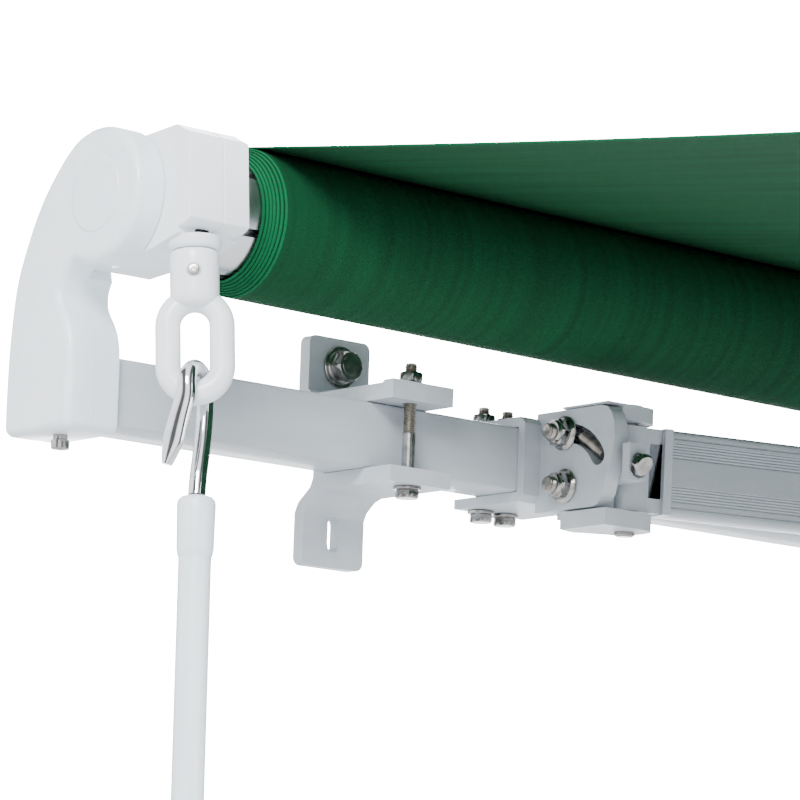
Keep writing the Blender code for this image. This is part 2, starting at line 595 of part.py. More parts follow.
def build_arms():
    half_h = ARM_HEIGHT / 2
    lean = math.asin(ELBOW_OFFSET / ARM_LENGTH)
    elbow = Vector((ARM_LENGTH * math.cos(ARM_ANGLE), -ARM_LENGTH * math.sin(ARM_ANGLE), 0))
    front = front_pivot()
    upper = link((0, 0, 0), -ARM_ANGLE + lean)
    fore = link(front, ARM_ANGLE - lean)
    reach = ARM_LENGTH * math.cos(lean)
    outer, inner = arm_outlines()
    profile_start, profile_end = 25.0, reach - 42.0
    profile = tube_x(outer, inner, profile_start, profile_end)

    pin_bore = stack([(-40, "round", PIN_BORE_R), (40, "round", PIN_BORE_R)], 16)
    # Knuckle at the start of each link, round its pin, with a flange against the profile.
    knuckle_outline = arc(0, 0, 13.0, 50, 310, 14) + [(20.0, -9.5), (20.0, 9.5)]
    knuckle = prism(knuckle_outline, -half_h + 0.3, half_h - 0.3)
    flange = box(19.0, profile_start - GAP, -ARM_THICK / 2 - 1.0, ARM_THICK / 2 + 1.0, -half_h - 0.2, half_h + 0.2)
    window = box(10.0, 18.8, -14, 14, -half_h + 9.5, half_h - 9.5)

    # Elbow: the pin stands beside the profile, so that the folded links lie next to each other.
    start = profile_end + GAP
    plug = box(start - 24.0, start + 6, -ARM_THICK / 2 + ARM_WALL + 0.4, ARM_THICK / 2 - ARM_WALL - 0.4,
               -half_h + ARM_WALL + 0.4, half_h - ARM_WALL - 0.4)
    fork_outline = [(start, -12.0), (reach - 17.0, -12.0)] + arc(reach, -ELBOW_OFFSET, 13.0, 190, 430, 14)
    fork_outline += [(reach - 12.0, 12.0), (start, 12.0)]
    fork = prism(fork_outline, -half_h + 0.3, half_h - 0.3)
    fork_room = box(reach - 34.0, reach + 30, -40, 30, -11.3, 11.3)
    elbow_pin_at = Matrix.Translation((reach, -ELBOW_OFFSET, 0))
    elbow_bore = transformed(stack([(-40, "round", PIN_BORE_R), (40, "round", PIN_BORE_R)], 16), elbow_pin_at)
    tongue_outline = [(start, 12.0), (start, -12.0), (reach - 12.0, -12.0)]
    tongue_outline += arc(reach, ELBOW_OFFSET, 13.0, -70, 170, 14) + [(reach - 17.0, 12.0)]
    tongue = prism(tongue_outline, -half_h + 0.3, half_h - 0.3)
    tongue_rooms = [box(reach - 17.5, reach + 30, -40, 40, low, high) for low, high in ((10.7, 40), (-40, -10.7))]
    tongue_bore = transformed(stack([(-40, "round", PIN_BORE_R), (40, "round", PIN_BORE_R)], 16),
                              Matrix.Translation((reach, ELBOW_OFFSET, 0)))

    pin_levels = [(-half_h - 1.8, "round", 8.5), (-half_h, "round", 8.5), (-half_h, "round", PIN_R),
                  (half_h, "round", PIN_R), (half_h, "round", 8.5), (half_h + 1.8, "round", 8.5)]

    # Front bracket, below the front bar
    web = box(-18.0, 18.0, -24.0, -17.0, -half_h - 6.5, half_h + 6.5)
    plates = []
    for low, high in ((-half_h - 6.5, -half_h - 1.0), (half_h + 1.0, half_h + 6.5)):
        plates.append(prism(rounded_box(-18.0, 18.0, -24.0, 14.0, 6.0, 2), low, high))
    front_pin = stack([(-half_h - 9.0, "round", PIN_R), (half_h + 6.0, "round", PIN_R)], 16)
    front_frame = link(front, 0.0)

    for name, side in both_sides():
        shoulder_at = upper @ Vector((0, 0, 0))
        elbow_at = arm_plane() @ elbow
        front_at = arm_plane() @ front

        def put(shape, frame):
            return transformed(shape, frame)

        add(name + "_upper_arm", put(profile, upper), "painted_metal", side, origin=shoulder_at, smooth=20)
        add(name + "_shoulder_knuckle", put(knuckle, upper), "painted_metal", side, origin=shoulder_at,
            joins=(put(flange, upper),),
            cuts=(put(pin_bore, upper), put(window, upper)))
        add(name + "_elbow_fork", put(fork, upper), "painted_metal", side, origin=shoulder_at,
            joins=(put(plug, upper),), cuts=(put(fork_room, upper), put(elbow_bore, upper)))
        elbow_pin = transformed(stack(pin_levels, 16), upper @ elbow_pin_at)
        add(name + "_elbow_pin", elbow_pin, "stainless", side, origin=elbow_at, smooth=30)
        add(name + "_elbow_tongue", put(tongue, fore), "painted_metal", side, origin=elbow_at,
            joins=(put(plug, fore),), cuts=[put(room, fore) for room in tongue_rooms] + [put(tongue_bore, fore)])
        add(name + "_forearm", put(profile, fore), "painted_metal", side, origin=elbow_at, smooth=20)
        add(name + "_front_knuckle", put(knuckle, fore), "painted_metal", side, origin=elbow_at,
            joins=(put(flange, fore),), cuts=(put(pin_bore, fore),))
        add(name + "_front_bracket", put(web, front_frame), "painted_metal", side, origin=front_at,
            joins=(put(plates[0], front_frame), put(plates[1], front_frame), put(front_pin, front_frame)))


def build_front_bar():
    at = link(front_pivot(), 0.0)
    base, top, back, front = FRONT_BAR_BASE, FRONT_BAR_TOP, FRONT_BAR_BACK, FRONT_BAR_FRONT
    outer = [(back, base), (back, top - 2), (back - 2, top), (back - 12, top), (front + 10, top - 6), (front + 2, top - 16),
             (front, top - 30), (front, base + 10), (front + 3, base + 3), (front + 10, base)]
    wall = 2.4
    inner = [(back - wall, base + wall), (back - wall, top - 4), (back - 4, top - wall), (back - 12, top - wall),
             (front + 11, top - 8.5), (front + 4.5, top - 17), (front + wall, top - 30), (front + wall, base + 11),
             (front + 5, base + 5), (front + 11, base + wall)]
    shift = at.translation.x
    half = FRONT_BAR_HALF
    bar = transformed(tube_x(outer, inner, -half - shift, half - shift), at)
    front_at = arm_plane() @ front_pivot()
    add("front_bar", bar, "painted_metal", origin=front_at)
    for name, side in both_sides():
        cap = loft([[(x, y, z) for y, z in outer] for x in (-half - 3.0 - shift, -half - GAP - shift)])
        add(name + "_front_cap", transformed(cap, at), "white_plastic", side, origin=front_at)


# ---------------------------------------------------------------- crank

def eye_frame():
    return gear_frame() @ Matrix.Translation((from_left(EYE_X), EYE_FORWARD, 0))


def eye_loop(low, high, half):
    """Centre line of the oval loop in the XZ plane: two straight limbs and two half circles."""
    path = [(x, 0, z) for x, z in arc(0, high, half, 0, 180, 8)]
    path += [(x, 0, z) for x, z in arc(0, low, half, 180, 360, 8)]
    return path


def build_crank():
    eye_at = eye_frame()
    turn = Matrix.Rotation(EYE_TURN, 4, "Z")
    frame = eye_at @ turn
    origin = eye_at @ Vector((0, 0, 0))
    neck_top, loop_high, loop_low = -37.5, -80.5, -103.5
    neck = stack([(-70.0, "round", 11.0), (-63.0, "round", EYE_NECK_R - 0.3), (neck_top - 1.5, "round", EYE_NECK_R),
                  (neck_top, "round", EYE_NECK_R - 1.5)], 20)
    loop = sweep(eye_loop(loop_low, loop_high, EYE_HALF), EYE_BAR_R, 10, closed=True)
    socket = stack([(-60.0, "round", 6.4), (neck_top + 5, "round", 6.4)], 12)
    add("crank_eye", transformed(neck, frame), "white_plastic", origin=origin, joins=(transformed(loop, frame),))

    # The hook lies across the loop, a little askew, and hangs on the loop's lower bend.
    rest = frame @ Vector((0, 0, loop_low - EYE_HALF))
    down = Vector((0, -math.sin(HANDLE_TILT), -math.cos(HANDLE_TILT)))
    hang = frame_from(rest, down, side=HOOK_SIDE)
    bend = EYE_BAR_R + 7.0
    path = [(-bend - 2.5, -9.0, 60.0), (-bend - 1.8, -6.0, 40.0), (-bend - 0.8, -3.0, 20.0), (-bend, 0, 4.0)]
    path += [(-bend * math.cos(math.radians(a)), 0, -bend * math.sin(math.radians(a)) + 0.3) for a in range(20, 181, 20)]
    path += [(bend, 0, 12.0), (bend * 0.5, 0, 26.0), (0.0, 0, 40.0), (0.0, 0, 66.0)]
    path = [(-x, -y, z) for x, y, z in path]
    flat = [(0.55, 1.0)] + [(0.75, 1.15)] * 2 + [(0.9, 1.0)] + [(1.0, 1.0)] * (len(path) - 4)
    hook = sweep(path, 4.6, 8, flatten=flat)
    add("crank_hook", transformed(hook, hang), "chrome", origin=origin, smooth=40)

    sleeve_top = 66.0 + GAP
    levels = [(sleeve_top, "round", 8.0), (sleeve_top + 2.5, "round", 10.8), (sleeve_top + 34, "round", 10.0),
              (sleeve_top + 36, "round", ROD_R), (ROD_LENGTH, "round", ROD_R)]
    rod = stack(levels, 14)
    add("crank_rod", transformed(rod, hang), "white_plastic", origin=origin, smooth=30)
    start = ROD_LENGTH + GAP
    crank_path = [(0, 0, start), (0, 0, start + 14), (6, 0, start + 26), (18, 0, start + 34), (THROW - 18, 0, start + 60),
                  (THROW - 5, 0, start + 67), (THROW, 0, start + 80), (THROW, 0, start + 92)]
    crank_path = [(-x, y, z) for x, y, z in crank_path]
    arm = sweep(crank_path, 7.0, 10)
    add("crank_throw", transformed(arm, hang), "white_plastic", origin=origin, smooth=40)
    grip_start = start + 92 + GAP
    grip_levels = [(grip_start, "round", 9.0), (grip_start + 6, "round", 12.5), (grip_start + 60, "round", 14.0),
                   (grip_start + GRIP_LENGTH - 8, "round", 12.5), (grip_start + GRIP_LENGTH, "round", 9.0)]
    grip = transformed(stack(grip_levels, 16), hang @ Matrix.Translation((-THROW, 0, 0)))
    grip_at = hang @ Vector((-THROW, 0, grip_start))
    add("crank_grip", grip, "white_plastic", origin=grip_at, smooth=30)


def main():
    clear_scene()
    build_torque_bar()
    build_end_covers()
    build_gearbox()
    build_idler()
    build_roller()
    build_canvas_sheet()
    build_wall_brackets()
    build_shoulder_bases()
    build_arm_carriers()
    build_arms()
    build_front_bar()
    build_crank()


main()
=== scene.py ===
"""Looks of the folding-arm awning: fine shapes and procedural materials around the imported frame."""

import json
import math

import bmesh
import bpy
from mathutils import Matrix, Vector

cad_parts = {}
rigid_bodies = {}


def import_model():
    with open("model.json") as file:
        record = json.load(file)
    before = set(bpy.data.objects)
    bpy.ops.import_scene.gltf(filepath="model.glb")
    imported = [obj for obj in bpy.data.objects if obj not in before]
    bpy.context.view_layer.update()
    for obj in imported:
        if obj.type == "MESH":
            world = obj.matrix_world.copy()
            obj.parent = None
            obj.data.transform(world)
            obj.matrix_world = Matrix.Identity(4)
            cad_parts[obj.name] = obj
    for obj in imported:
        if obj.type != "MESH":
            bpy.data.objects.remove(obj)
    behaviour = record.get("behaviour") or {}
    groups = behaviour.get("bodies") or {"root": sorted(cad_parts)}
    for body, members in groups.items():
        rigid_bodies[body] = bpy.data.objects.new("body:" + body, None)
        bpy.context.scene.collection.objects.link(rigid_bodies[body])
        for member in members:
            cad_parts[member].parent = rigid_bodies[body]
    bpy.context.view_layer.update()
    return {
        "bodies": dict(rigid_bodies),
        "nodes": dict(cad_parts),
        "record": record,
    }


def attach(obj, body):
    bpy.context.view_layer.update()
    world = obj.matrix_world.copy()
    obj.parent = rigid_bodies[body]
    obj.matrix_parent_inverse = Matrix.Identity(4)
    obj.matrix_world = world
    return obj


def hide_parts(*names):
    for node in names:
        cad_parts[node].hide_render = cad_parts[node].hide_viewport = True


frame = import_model()

# Shapes below are written in millimetres about the left end of the bar: X along it, Y into the wall,
# Z up, with the bar's centre line at Y = 0, Z = 0. MIDDLE is the awning's mid plane.
OFFSET = Vector((-102.0, -47.0, -38.0))
METRES = 0.001
MIDDLE = 1350.7
SIDES = ((1, "left"), (-1, "right"))
BEVEL_ANGLE = math.radians(35)

# Roller axis (Y, Z), gearbox and crank.
ROLLER = (-44.0, 106.0)
GEAR_TILT = math.radians(4.5)
EYE_AT = (-112.3, 43.0, 0)
EYE_TURN = math.radians(40.0)
HANDLE_TILT = math.radians(1.2)
HOOK_SIDE = (-0.860, -0.483, 0.0)
ROD_END = 1180.0
THROW = 150.0

# Arms.
ARM_ORIGIN = (245.0, -70.0, -6.0)
ARM_PITCH = math.radians(1.5)
ARM_ANGLE = math.radians(15.0)
ARM_LENGTH = 1000.0
ELBOW_OFFSET = 14.0

# Canvas.
CANVAS_X = (-44.7, 2746.1)
CANVAS_THICKNESS = 0.95
CANVAS_PITCH = math.radians(7.4)
HEM = 24.0
HEM_COLUMNS = 5
SPIRAL_TURNS = 7
STEPS_PER_TURN = 64
ROLL_INNER, ROLL_OUTER = 36.2, 44.3
ROLL_SAG = 7.0
SHEET_SPANS = 40
SHEET_SAG = 1.6
FOLLOW_BOW = 0.09

# Photo camera directions, and the studio around the part.
VIEW_RIGHT = (0.7575, -0.6520, 0.0334)
VIEW_UP = (-0.1327, -0.1037, 0.9857)
VIEW_AWAY = (0.6392, 0.7511, 0.1650)
SKY_STRENGTH = 2.5
SCREEN_STRENGTH = 24.0
FLOOR_Z = -1.62


# ---------------------------------------------------------------- materials

def node_of(tree, kind, **values):
    """A new shader node; values go to its sockets, or else to its properties."""
    node = tree.nodes.new(kind)
    for key, value in values.items():
        if key in node.inputs:
            node.inputs[key].default_value = value
        else:
            setattr(node, key, value)
    return node


def base_material(name, rough, metallic=0.0):
    mat = bpy.data.materials.new(name)
    mat.use_nodes = True
    shader = mat.node_tree.nodes["Principled BSDF"]
    shader.inputs["Roughness"].default_value = rough
    shader.inputs["Metallic"].default_value = metallic
    return mat, mat.node_tree, shader


def tone_ramp(tree, low, dark, high, light):
    """A colour ramp that is dark up to low and light from high on."""
    ramp = node_of(tree, "ShaderNodeValToRGB")
    first, last = ramp.color_ramp.elements
    first.position = low
    first.color = (*dark, 1)
    last.position = high
    last.color = (*light, 1)
    return ramp


def add_relief(tree, shader, height, strength, distance):
    relief = node_of(tree, "ShaderNodeBump", Strength=strength, Distance=distance)
    tree.links.new(height, relief.inputs["Height"])
    tree.links.new(relief.outputs["Normal"], shader.inputs["Normal"])


def noisy(name, dark, light, rough, metallic=0.0, scale=60.0, bump=0.02, spread=0.08,
          stretch=(1, 1, 1), coat=0.0):
    """Paint, plastic or metal: two near tones in a soft cloud, uneven gloss and a fine bump."""
    mat, tree, shader = base_material(name, rough, metallic)
    place_node = node_of(tree, "ShaderNodeTexCoord")
    squeeze = node_of(tree, "ShaderNodeMapping")
    squeeze.inputs["Scale"].default_value = stretch
    tree.links.new(place_node.outputs["Object"], squeeze.inputs["Vector"])
    cloud = node_of(tree, "ShaderNodeTexNoise", Scale=scale, Detail=4.0)
    tree.links.new(squeeze.outputs["Vector"], cloud.inputs["Vector"])
    ramp = tone_ramp(tree, 0.3, dark, 0.7, light)
    tree.links.new(cloud.outputs["Fac"], ramp.inputs["Fac"])
    tree.links.new(ramp.outputs["Color"], shader.inputs["Base Color"])
    gloss = node_of(tree, "ShaderNodeMapRange")
    gloss.inputs["To Min"].default_value = max(rough - spread, 0.02)
    gloss.inputs["To Max"].default_value = rough + spread
    tree.links.new(cloud.outputs["Fac"], gloss.inputs["Value"])
    tree.links.new(gloss.outputs["Result"], shader.inputs["Roughness"])
    grain = node_of(tree, "ShaderNodeTexNoise", Scale=900.0, Detail=2.0)
    tree.links.new(squeeze.outputs["Vector"], grain.inputs["Vector"])
    add_relief(tree, shader, grain.outputs["Fac"], bump, 0.0004)
    shader.inputs["Coat Weight"].default_value = coat
    shader.inputs["Coat Roughness"].default_value = 0.12
    return mat


def canvas_material(name, dark, light):
    """Woven canvas: fine threads along and across, faint streaks, a matt face."""
    mat, tree, shader = base_material(name, 0.85)
    place_node = node_of(tree, "ShaderNodeUVMap", uv_map="weave")
    wave_a = node_of(tree, "ShaderNodeTexWave", Scale=260.0, Distortion=1.2, Detail=1.0)
    wave_b = node_of(tree, "ShaderNodeTexWave", Scale=300.0, Distortion=1.2, Detail=1.0,
                     bands_direction="Y")
    cloud = node_of(tree, "ShaderNodeTexNoise", Scale=900.0, Detail=4.0)
    streak_place = node_of(tree, "ShaderNodeMapping")
    streak_place.inputs["Scale"].default_value = (140.0, 3.0, 1.0)
    streak = node_of(tree, "ShaderNodeTexNoise", Scale=1.0, Detail=3.0)
    for node in (wave_a, wave_b, cloud, streak_place):
        tree.links.new(place_node.outputs["UV"], node.inputs["Vector"])
    tree.links.new(streak_place.outputs["Vector"], streak.inputs["Vector"])
    threads = node_of(tree, "ShaderNodeMath", operation="MAXIMUM")
    tree.links.new(wave_a.outputs["Fac"], threads.inputs[0])
    tree.links.new(wave_b.outputs["Fac"], threads.inputs[1])
    mixed = node_of(tree, "ShaderNodeMath", operation="MULTIPLY_ADD")
    mixed.inputs[1].default_value = 0.45
    tree.links.new(cloud.outputs["Fac"], mixed.inputs[0])
    tree.links.new(streak.outputs["Fac"], mixed.inputs[2])
    ramp = tone_ramp(tree, 0.45, dark, 1.0, light)
    tree.links.new(mixed.outputs["Value"], ramp.inputs["Fac"])
    tree.links.new(ramp.outputs["Color"], shader.inputs["Base Color"])
    add_relief(tree, shader, threads.outputs["Value"], 0.35, 0.0003)
    shader.inputs["Specular IOR Level"].default_value = 0.15
    return mat


MAT = {
    "white_plastic": noisy("white_plastic", (0.82, 0.91, 0.98), (0.88, 0.95, 1.0), 0.36, coat=0.25),
    "eye_plastic": noisy("eye_plastic", (0.87, 0.93, 0.98), (0.92, 0.965, 1.0), 0.3, coat=0.3),
    "rod_paint": noisy("rod_paint", (0.80, 0.90, 0.97), (0.88, 0.95, 1.0), 0.33,
                       stretch=(3, 3, 0.3), coat=0.2),
    "painted_metal": noisy("painted_metal", (0.43, 0.47, 0.51), (0.49, 0.53, 0.57), 0.42,
                           bump=0.08, coat=0.1),
    "painted_bar": noisy("painted_bar", (0.41, 0.45, 0.49), (0.455, 0.50, 0.54), 0.38,
                         stretch=(0.15, 1, 1), bump=0.05),
    "arm_paint": noisy("arm_paint", (0.35, 0.39, 0.42), (0.395, 0.435, 0.47), 0.4,
                       stretch=(0.15, 1, 1), bump=0.05),
    "stainless": noisy("stainless", (0.26, 0.25, 0.24), (0.46, 0.45, 0.44), 0.22, 1.0,
                       scale=150, bump=0.05),
    "thread": noisy("thread", (0.22, 0.20, 0.18), (0.42, 0.40, 0.36), 0.3, 1.0, scale=200, bump=0.05),
    "chrome": noisy("chrome", (0.62, 0.63, 0.65), (0.8, 0.8, 0.82), 0.09, 1.0, scale=120, spread=0.04),
    "galvanised": noisy("galvanised", (0.6, 0.62, 0.65), (0.75, 0.77, 0.8), 0.28, 1.0,
                        scale=40, stretch=(0.3, 1, 1)),
    "brass": noisy("brass", (0.55, 0.38, 0.14), (0.7, 0.5, 0.2), 0.35, 1.0),
    "canvas": canvas_material("green_canvas", (0.0012, 0.038, 0.0135), (0.0022, 0.062, 0.022)),
    "hem": canvas_material("green_hem", (0.0025, 0.085, 0.030), (0.006, 0.13, 0.047)),
    # Near black: painted shade for a narrow gap.
    "painted_gap_shade": noisy("painted_gap_shade", (0.01, 0.01, 0.01), (0.02, 0.02, 0.02), 0.7),
}
SLOT_LOOK = {"green_canvas": "canvas"}


# ---------------------------------------------------------------- pieces

def place(point, side):
    """A point in local millimetres as a world point; side -1 puts it on the right half."""
    x = point[0] if side > 0 else 2 * MIDDLE - point[0]
    return (Vector((x, point[1], point[2])) + OFFSET) * METRES


def add_object(name, data):
    obj = bpy.data.objects.new(name, data)
    bpy.context.scene.collection.objects.link(obj)
    return obj


def face_outward(mesh):
    work = bmesh.new()
    work.from_mesh(mesh)
    bmesh.ops.recalc_face_normals(work, faces=work.faces)
    work.to_mesh(mesh)
    work.free()


def piece(name, shapes, look, body, side=1, smooth=35, stands_for=()):
    """One visual piece made of one or more closed shapes, riding on a body."""
    mesh = bpy.data.meshes.new(name)
    points = []
    faces = []
    for shape_points, shape_faces in shapes:
        start = len(points)
        points += [place(p, side) for p in shape_points]
        faces += [tuple(start + i for i in f) for f in shape_faces]
    mesh.from_pydata(points, [], faces)
    face_outward(mesh)
    obj = add_object(name, mesh)
    mesh.materials.append(MAT[look])
    mesh.shade_smooth()
    mesh.set_sharp_from_angle(angle=math.radians(smooth))
    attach(obj, body)
    if stands_for:
        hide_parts(*stands_for)


def trimmed(mesh, shape, side):
    """The mesh kept only where it lies inside a closed shape."""
    points, faces = shape
    helper_mesh = bpy.data.meshes.new("trim_helper")
    helper_mesh.from_pydata([place(p, side) for p in points], [], faces)
    face_outward(helper_mesh)
    body = add_object("trim_body", mesh)
    helper = add_object("trim_helper", helper_mesh)
    mod = body.modifiers.new("trim", "BOOLEAN")
    mod.operation = "INTERSECT"
    mod.solver = "EXACT"
    mod.object = helper
    graph = bpy.context.evaluated_depsgraph_get()
    result = bpy.data.meshes.new_from_object(body.evaluated_get(graph))
    for obj in (body, helper):
        bpy.data.objects.remove(obj, do_unlink=True)
    return result


def refine(node, look, body, width=1.2, segments=3, trim=None):
    """A CAD node again with rounded edges, in place of the plain one; trim is a (shape, side)."""
    source = frame["nodes"][node]
    mesh = source.data.copy()
    mesh.materials.clear()
    mesh.materials.append(MAT[look])
    work = bmesh.new()
    work.from_mesh(mesh)
    bmesh.ops.remove_doubles(work, verts=work.verts, dist=1e-6)
    bmesh.ops.dissolve_limit(work, angle_limit=math.radians(1.0), verts=work.verts, edges=work.edges)
    work.to_mesh(mesh)
    work.free()
    if "custom_normal" in mesh.attributes:
        mesh.attributes.remove(mesh.attributes["custom_normal"])
    if trim:
        mesh = trimmed(mesh, *trim)
    obj = add_object(node + "_look", mesh)
    mod = obj.modifiers.new("edges", "BEVEL")
    mod.width = width * METRES
    mod.segments = segments
    mod.limit_method = "ANGLE"
    mod.angle_limit = BEVEL_ANGLE
    mod.harden_normals = True
    mesh.shade_smooth()
    mesh.set_sharp_from_angle(angle=math.radians(40))
    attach(obj, body)
    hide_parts(node)


# ---------------------------------------------------------------- shapes

def loft(rings, closed_ends=True):
    """A skin over rings of points, capped at both ends or else joined into a loop."""
    size = len(rings[0])
    points = [Vector(p) for ring in rings for p in ring]
    faces = []
    for i in range(len(rings) - 1 if closed_ends else len(rings)):
        a = i * size
        b = ((i + 1) % len(rings)) * size
        for k in range(size):
            n = (k + 1) % size
            faces.append((a + k, a + n, b + n, b + k))
    if closed_ends:
        faces.append(tuple(reversed(range(size))))
        faces.append(tuple(range((len(rings) - 1) * size, len(rings) * size)))
    return points, faces


def moved(shape, matrix):
    points, faces = shape
    return [matrix @ Vector(p) for p in points], faces


def aimed(origin, direction, side=(1.0, 0.0, 0.0)):
    """A frame at origin with Z along direction and X as near to side as it can be."""
    z_axis = Vector(direction).normalized()
    if abs(z_axis.dot(Vector(side))) > 0.99:
        side = (0.0, 1.0, 0.0)
    x_axis = (Vector(side) - z_axis * Vector(side).dot(z_axis)).normalized()
    matrix = Matrix((x_axis, z_axis.cross(x_axis), z_axis)).transposed().to_4x4()
    matrix.translation = Vector(origin)
    return matrix


def angles_of(segments):
    return [2 * math.pi * k / segments for k in range(segments)]


def turned(levels, segments=40):
    """A turned solid about Z from (height, radius) levels."""
    return loft([[(radius * math.cos(a), radius * math.sin(a), height) for a in angles_of(segments)]
                 for height, radius in levels])


def hexagon(low, high, flats):
    """A hexagon nut or head, its corners eased at both ends, flats across in millimetres."""
    chamfer = 0.9
    rings = []
    for height, eased in ((low, True), (low + chamfer, False), (high - chamfer, False), (high, True)):
        ring = []
        for angle in angles_of(36):
            offset = (angle % (math.pi / 3)) - math.pi / 6
            radius = flats / 2 * 0.985 if eased else flats / 2 / math.cos(offset)
            ring.append((radius * math.cos(angle), radius * math.sin(angle), height))
        rings.append(ring)
    return loft(rings)


def washer(low, high, radius):
    return turned([(low, radius - 0.4), (low + 0.3, radius), (high - 0.3, radius), (high, radius - 0.4)])


def threaded(low, high, radius, pitch=1.25):
    """A screw thread shown as close ridges, with an eased end at the high end."""
    levels = [(low, radius - 0.7)]
    height = low + 0.1
    while height + pitch < high - 0.8:
        levels += [(height + pitch * 0.5, radius), (height + pitch, radius - 0.75)]
        height += pitch
    levels += [(high - 0.8, radius - 0.3), (high, radius - 1.2)]
    return turned(levels, 24)


def swept(path, radius, segments=24, closed=False, flatten=None):
    """A tube along a path; flatten gives a pair of radius factors for each of its points."""
    points = [Vector(p) for p in path]
    count = len(points)
    rings = []
    normal = None
    for i, point in enumerate(points):
        before = points[(i - 1) % count] if closed or i > 0 else point
        after = points[(i + 1) % count] if closed or i < count - 1 else point
        tangent = (after - before).normalized()
        if normal is None:
            normal = (Vector((1, 0, 0)) - tangent * tangent.x)
            if normal.length < 0.3:
                normal = tangent.orthogonal()
            normal.normalize()
        else:
            normal = (normal - tangent * normal.dot(tangent)).normalized()
        binormal = tangent.cross(normal)
        wide, thin = flatten[i] if flatten else (1.0, 1.0)
        rings.append([point + normal * radius * wide * math.cos(a) + binormal * radius * thin * math.sin(a)
                      for a in angles_of(segments)])
    return loft(rings, closed_ends=not closed)


def arc(cx, cy, radius, start, end, count):
    """Points along an arc from start to end, in degrees."""
    angles = [math.radians(start + (end - start) * i / count) for i in range(count + 1)]
    return [(cx + radius * math.cos(a), cy + radius * math.sin(a)) for a in angles]


def smooth_path(points, per_span=4):
    """A smooth open curve through the points, in the plane or in space."""
    out = []
    for i in range(len(points) - 1):
        p0 = Vector(points[max(i - 1, 0)])
        p1 = Vector(points[i])
        p2 = Vector(points[i + 1])
        p3 = Vector(points[min(i + 2, len(points) - 1)])
        for k in range(per_span):
            t = k / per_span
            out.append((2 * p1 + (p2 - p0) * t + (2 * p0 - 5 * p1 + 4 * p2 - p3) * t * t
                        + (3 * p1 - 3 * p2 + p3 - p0) * t * t * t) * 0.5)
    out.append(Vector(points[-1]))
    return out


def smooth_outline(points):
    return [tuple(p) for p in smooth_path(points)[:-1]] + [points[-1]]


def inset(outline, amount):
    """A closed outline drawn in by an amount, whichever way round it runs."""
    count = len(outline)
    area = sum(outline[i][0] * outline[(i + 1) % count][1] - outline[(i + 1) % count][0] * outline[i][1]
               for i in range(count))
    sign = 1.0 if area > 0 else -1.0
    result = []
    for i in range(count):
        before = Vector(outline[i - 1])
        here = Vector(outline[i])
        after = Vector(outline[(i + 1) % count])
        a = (here - before).normalized()
        b = (after - here).normalized()
        normal = Vector((-(a.y + b.y), a.x + b.x))
        if normal.length > 1e-6:
            normal.normalize()
            stretch = 1.0 / max(0.5, normal.dot(Vector((-a.y, a.x))))
            here = here + normal * sign * amount * stretch
        result.append((here.x, here.y))
    return result


def slab_x(outline, low, high, round_low=0.0, round_high=0.0, steps=5):
    """A YZ outline drawn out along X with rounded rims."""
    def rim(edge, radius, inward):
        if not radius:
            return [[(edge, y, z) for y, z in outline]]
        rings = []
        for k in range(steps + 1):
            a = math.pi / 2 * k / steps
            x = edge + inward * radius * (1 - math.sin(a))
            rings.append([(x, y, z) for y, z in inset(outline, radius * (1 - math.cos(a)))])
        return rings

    return loft(rim(low, round_low, 1)[::-1] + rim(high, round_high, -1))


# ---------------------------------------------------------------- end covers and gearbox

def cover_shapes():
    """The end cover's broad shell, and its thicker foot round the bar."""
    back = smooth_outline([(36.0, -20.0), (36.2, 0.0), (35.2, 30.0), (31.0, 62.0), (23.4, 83.1),
                           (14.5, 101.0), (5.0, 115.2), (-9.1, 130.6), (-22.6, 140.8), (-36.5, 145.0)])
    head = arc(ROLLER[0], ROLLER[1], 39.4, 84, 296, 36)
    front = smooth_outline([(-22.0, 69.8), (-17.5, 66.0), (-13.7, 60.9), (-12.1, 54.1), (-13.8, 46.9),
                            (-19.6, 38.6), (-23.5, 30.6), (-25.7, 17.5), (-26.0, -20.0)])
    bottom = arc(-20.0, -20.0, 6.0, 180, 270, 6)[1:] + arc(30.0, -20.0, 6.0, 270, 360, 6)
    whole = back + head[1:] + front + bottom[:-1]
    lower = [p for p in back if p[1] < 72] + [(22.0, 80.0), (4.0, 78.0), (-14.0, 70.0)]
    lower += [p for p in front if p[1] < 64] + bottom[:-1]
    shell = slab_x(whole, -149.3, -130.0, 4.8, 0.8, 7)
    foot = slab_x(inset(lower, 0.25), -144.0, -112.7, 0.0, 1.2)
    return shell, foot


def build_cover(side, name):
    medallion = moved(turned([(0.0, 22.2), (0.5, 21.9), (0.75, 21.2), (0.8, 20.0)], 64),
                      aimed((-149.2, ROLLER[0], ROLLER[1]), (-1, 0, 0)))
    piece(name + "_cover_shell", cover_shapes(), "white_plastic", "frame", side, 40, (name + "_end_cover",))
    piece(name + "_cover_medallion", [medallion], "white_plastic", "frame", side, 50)
    stem = [(-26.0, 4.2), (-28.8, 4.2)]
    rim = [(-28.8, 4.6), (-29.2, 5.35), (-30.0, 5.45), (-33.9, 5.3), (-34.4, 4.7), (-34.5, 1.8), (-33.4, 1.6)]
    at = aimed((-133.9, 0, 0), (0, 0, 1))
    screw = [moved(turned(levels, 32), at) for levels in (stem, rim)]
    piece(name + "_foot_screw", screw, "stainless", "frame", side, 40, (name + "_cover_screw",))


def gear_frame():
    """The gearbox frame about the roller axis: Y forward, Z up, both leaned by GEAR_TILT."""
    forward = Vector((0, -math.cos(GEAR_TILT), math.sin(GEAR_TILT)))
    up = Vector((0, math.sin(GEAR_TILT), math.cos(GEAR_TILT)))
    matrix = Matrix((Vector((1, 0, 0)), forward, up)).transposed().to_4x4()
    matrix.translation = Vector((0, ROLLER[0], ROLLER[1]))
    return matrix


